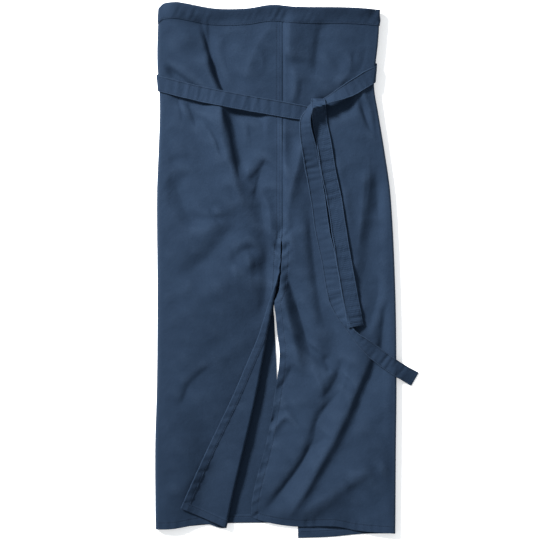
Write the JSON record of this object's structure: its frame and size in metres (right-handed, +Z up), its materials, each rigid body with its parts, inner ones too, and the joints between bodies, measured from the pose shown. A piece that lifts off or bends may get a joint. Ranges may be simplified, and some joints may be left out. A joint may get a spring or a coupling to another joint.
{
  "type": "waist apron",
  "caption": "Long waist apron of twill, wrapped into a tube and laid flat, with a waistband, a front slit with one corner turned back, and ties knotted in front.",
  "frame": {"origin": "middle of the laid-out apron's outline, on the surface it lies on", "axes": "+Y from hem to waistband, +X to the right seen from above, +Z up from the surface through back and front"},
  "size_m": [0.4475, 0.909, 0.0336],
  "materials": {
    "apron_twill": "matte",
    "tie_twill": "matte"
  },
  "bodies": {
    "root": {"left_front": "apron_twill", "left_side": "apron_twill", "left_back": "apron_twill", "right_front": "apron_twill", "right_side": "apron_twill", "right_back": "apron_twill", "waistband": "apron_twill", "tie_left": "tie_twill", "tie_right": "tie_twill"}
  },
  "joints": []
}
